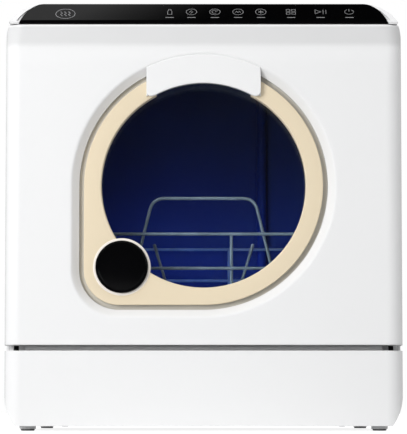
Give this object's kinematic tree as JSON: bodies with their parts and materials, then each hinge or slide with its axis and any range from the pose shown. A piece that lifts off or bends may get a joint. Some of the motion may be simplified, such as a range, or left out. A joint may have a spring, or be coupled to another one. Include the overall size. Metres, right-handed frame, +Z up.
{
  "type": "countertop dishwasher",
  "caption": "White countertop dishwasher with a drop-down door, round window, tilted black touch strip, wire rack and spray arms.",
  "frame": {"origin": "middle of the footprint on the surface it stands on", "axes": "+Z up, -Y the front with the door, +X to the right seen from the front"},
  "size_m": [0.42, 0.43, 0.455],
  "materials": {
    "white_shell": "fine satin",
    "cream_trim": "satin",
    "black_glass": "polished, printed",
    "black_gloss": "gloss",
    "clear_glass": "clear",
    "grey_rubber": "matte",
    "navy_chamber": "satin",
    "grey_plastic": "matte",
    "dark_plastic": "matte",
    "tank_plastic": "translucent",
    "steel": "brushed",
    "wire_coating": "dipped",
    "board": "solder mask",
    "blue_lens": "lit"
  },
  "bodies": {
    "cabinet": {"base_housing": "white_shell", "bottom_cover": "grey_plastic", "foot_pads": "grey_rubber", "outer_casing": "white_shell", "rear_cover": "grey_plastic", "case_screws": "steel", "front_frame": "white_shell", "console_housing": "white_shell", "control_glass": "black_glass", "touch_board": "board", "main_board": "board", "tub": "navy_chamber", "tub_gasket": "grey_rubber", "hinge_arm_left": "steel", "hinge_arm_right": "steel", "latch_housing": "grey_plastic", "water_tank": "tank_plastic", "fill_funnel": "grey_plastic", "sump": "grey_plastic", "filter_plate": "steel", "wash_pump_body": "grey_plastic", "drain_pump_body": "grey_plastic", "heater": "steel", "wash_pipe": "grey_plastic", "drain_pipe": "grey_rubber", "tank_pipe": "grey_rubber", "upper_spray_pipe": "navy_chamber", "chamber_light": "blue_lens", "fan_housing": "grey_plastic", "inlet_valve": "grey_plastic", "drain_spigot": "black_gloss", "cord_gland": "black_gloss"},
    "door": {"door_shell": "white_shell", "door_bezel": "cream_trim", "door_handle": "white_shell", "handle_pocket": "white_shell", "badge": "black_gloss", "window_gasket": "grey_rubber", "window_glass": "clear_glass", "glass_clamp": "grey_plastic", "inner_glass": "clear_glass", "door_liner": "white_shell", "hinge_pins": "steel", "hinge_blocks": "grey_plastic", "latch_striker": "steel", "door_screws": "steel"},
    "rack": {"rack_floor": "wire_coating", "rack_sides": "wire_coating", "rack_tines": "wire_coating", "rack_hoop": "wire_coating", "rack_shoes": "grey_plastic"},
    "spray_arm_body": {"spray_arm": "grey_plastic"},
    "upper_spray_arm_body": {"upper_spray_arm": "grey_plastic"},
    "filter_cup_body": {"filter_cup": "grey_plastic"},
    "fill_cap_body": {"fill_cap": "white_shell"},
    "wash_impeller_body": {"wash_impeller": "dark_plastic"},
    "drain_impeller_body": {"drain_impeller": "dark_plastic"},
    "fan_rotor_body": {"fan_rotor": "dark_plastic"},
    "latch_lever_body": {"latch_lever": "steel"}
  },
  "joints": [
    {"name": "door_hinge", "type": "hinge", "parent": "cabinet", "child": "door", "pos_m": [0, -0.2, 0.101], "axis": [1, 0, 0], "range_deg": [0, 90]},
    {"name": "rack_lift", "type": "slide", "parent": "cabinet", "child": "rack", "axis": [0, 0, 1], "range_m": [0, 0.06]},
    {"name": "spray_arm_spin", "type": "hinge", "parent": "cabinet", "child": "spray_arm_body", "pos_m": [0, -0.01, 0.125], "axis": [0, 0, 1], "continuous": true},
    {"name": "upper_spray_arm_spin", "type": "hinge", "parent": "cabinet", "child": "upper_spray_arm_body", "pos_m": [0, -0.01, 0.406], "axis": [0, 0, 1], "continuous": true},
    {"name": "filter_cup_twist", "type": "hinge", "parent": "cabinet", "child": "filter_cup_body", "pos_m": [0.033, -0.01, 0.108], "axis": [0, 0, 1], "range_deg": [0, 90]},
    {"name": "fill_cap_hinge", "type": "hinge", "parent": "cabinet", "child": "fill_cap_body", "pos_m": [-0.1, 0.184, 0.451], "axis": [-1, 0, 0], "range_deg": [0, 95]},
    {"name": "wash_impeller_spin", "type": "hinge", "parent": "cabinet", "child": "wash_impeller_body", "pos_m": [0.075, -0.01, 0.053], "axis": [1, 0, 0], "continuous": true},
    {"name": "drain_impeller_spin", "type": "hinge", "parent": "cabinet", "child": "drain_impeller_body", "pos_m": [-0.075, -0.01, 0.053], "axis": [1, 0, 0], "continuous": true},
    {"name": "fan_spin", "type": "hinge", "parent": "cabinet", "child": "fan_rotor_body", "pos_m": [0.115, 0.17, 0.375], "axis": [0, 1, 0], "continuous": true},
    {"name": "latch_lever_lift", "type": "hinge", "parent": "cabinet", "child": "latch_lever_body", "pos_m": [0.195, -0.137, 0.368], "axis": [-1, 0, 0], "range_deg": [0, 6], "stiffness_Nm_per_rad": 0.05}
  ]
}
